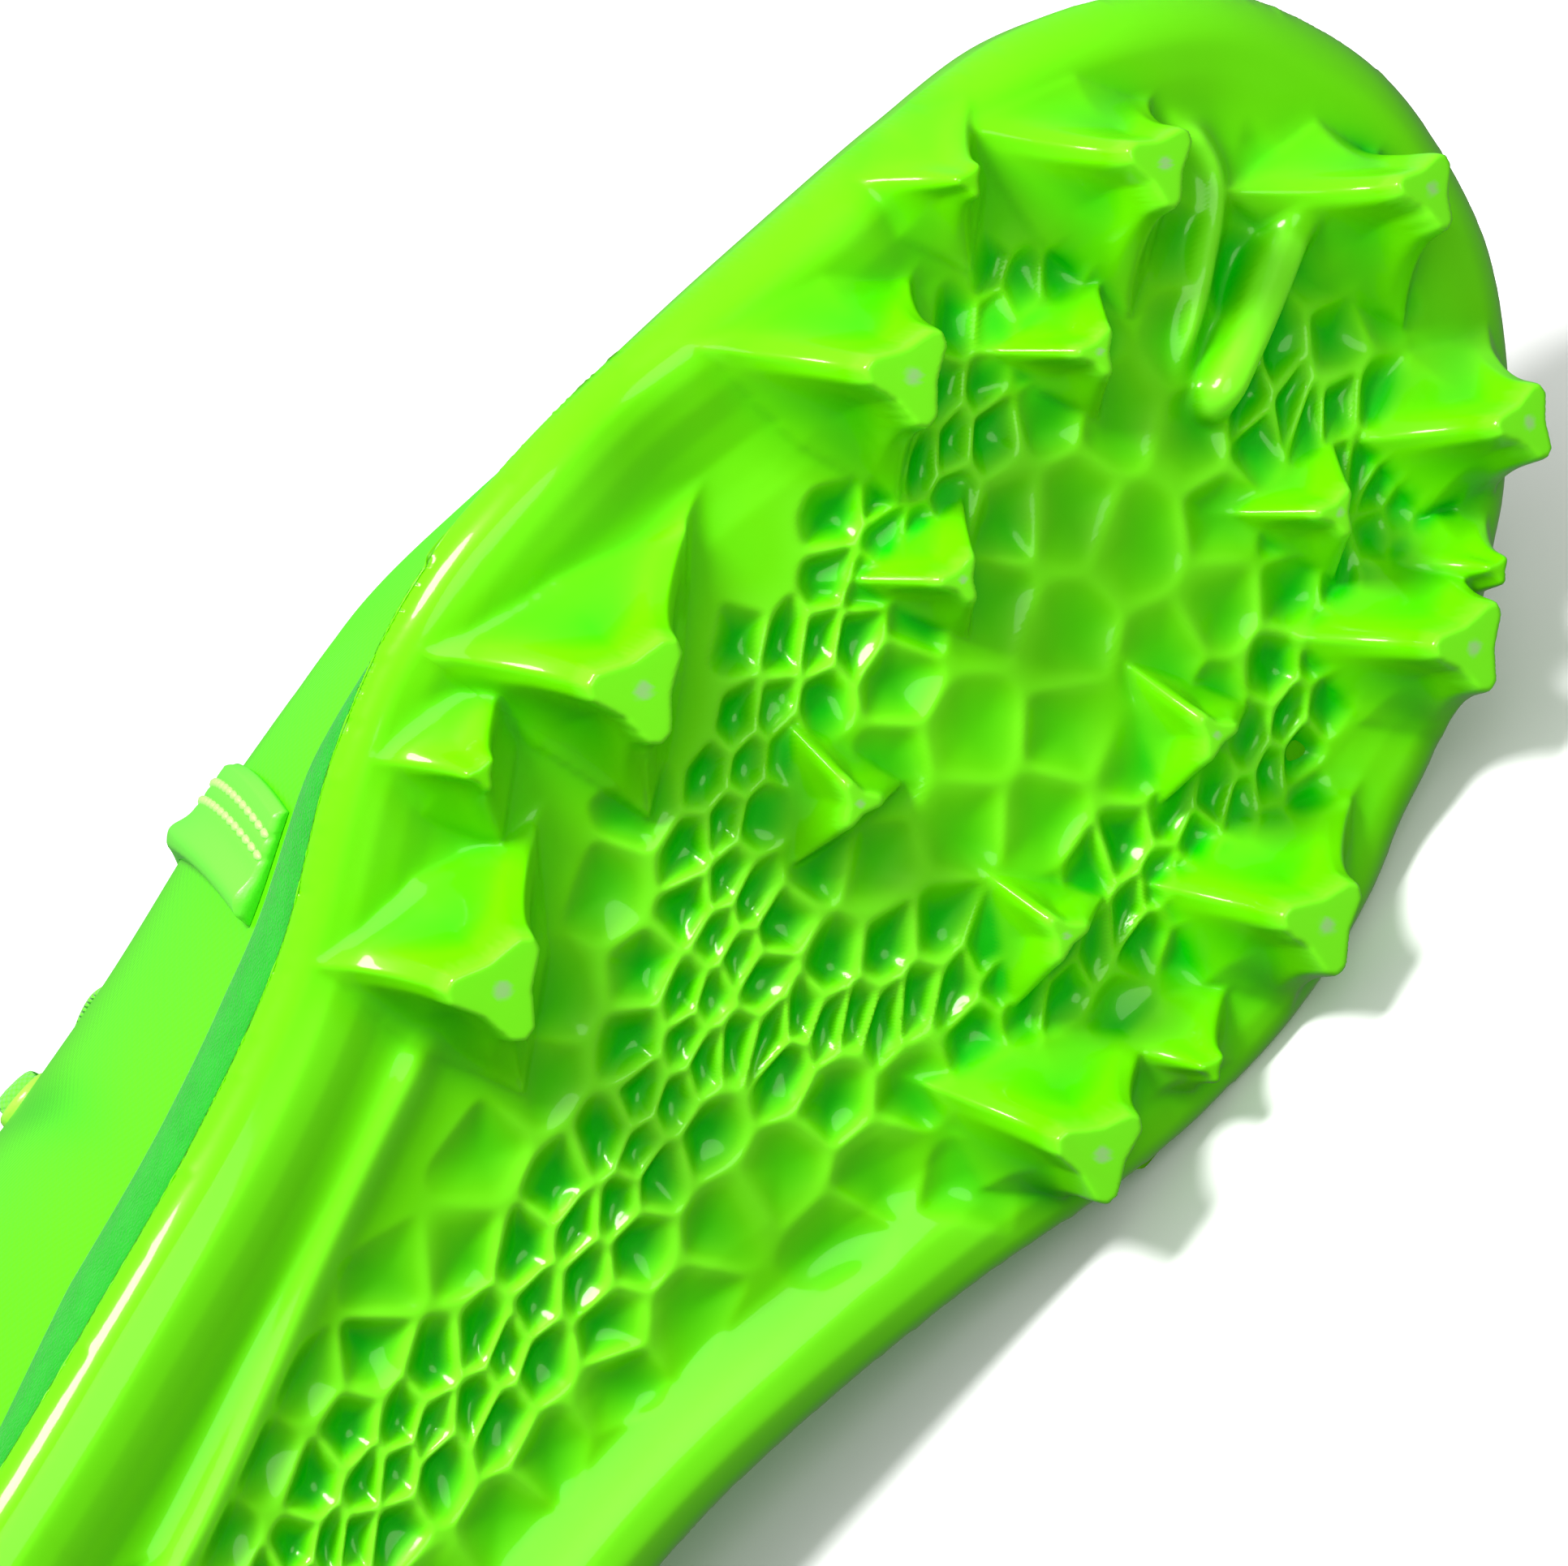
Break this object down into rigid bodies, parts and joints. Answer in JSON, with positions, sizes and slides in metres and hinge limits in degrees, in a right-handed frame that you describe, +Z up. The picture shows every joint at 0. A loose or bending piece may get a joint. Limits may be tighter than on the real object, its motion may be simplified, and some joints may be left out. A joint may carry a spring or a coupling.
{
  "type": "football cleat",
  "caption": "Low-cut right football cleat lying on its big-toe side, moulded sole with three-armed studs towards the viewer.",
  "frame": {"origin": "middle of the box's underside, on the floor that the shoe lies on", "axes": "+X runs to the toe, the sole faces -Y, and +Z is up, on the shoe's outer (little-toe) side"},
  "size_m": [0.2968, 0.1116, 0.1028],
  "materials": {
    "outsole": "glossy",
    "midsole": "matt",
    "insole": "soft knit",
    "upper": "glossy film over knit",
    "tongue": "padded knit",
    "lace": "woven",
    "band_lateral": "satin, double stitched",
    "band_medial": "satin, double stitched",
    "heel_counter": "glossy with piped edge"
  },
  "bodies": {
    "root": {"outsole": "outsole", "midsole": "midsole", "insole": "insole", "upper": "upper", "tongue": "tongue", "lace": "lace", "band_lateral": "band_lateral", "band_medial": "band_medial", "heel_counter": "heel_counter"}
  },
  "joints": []
}
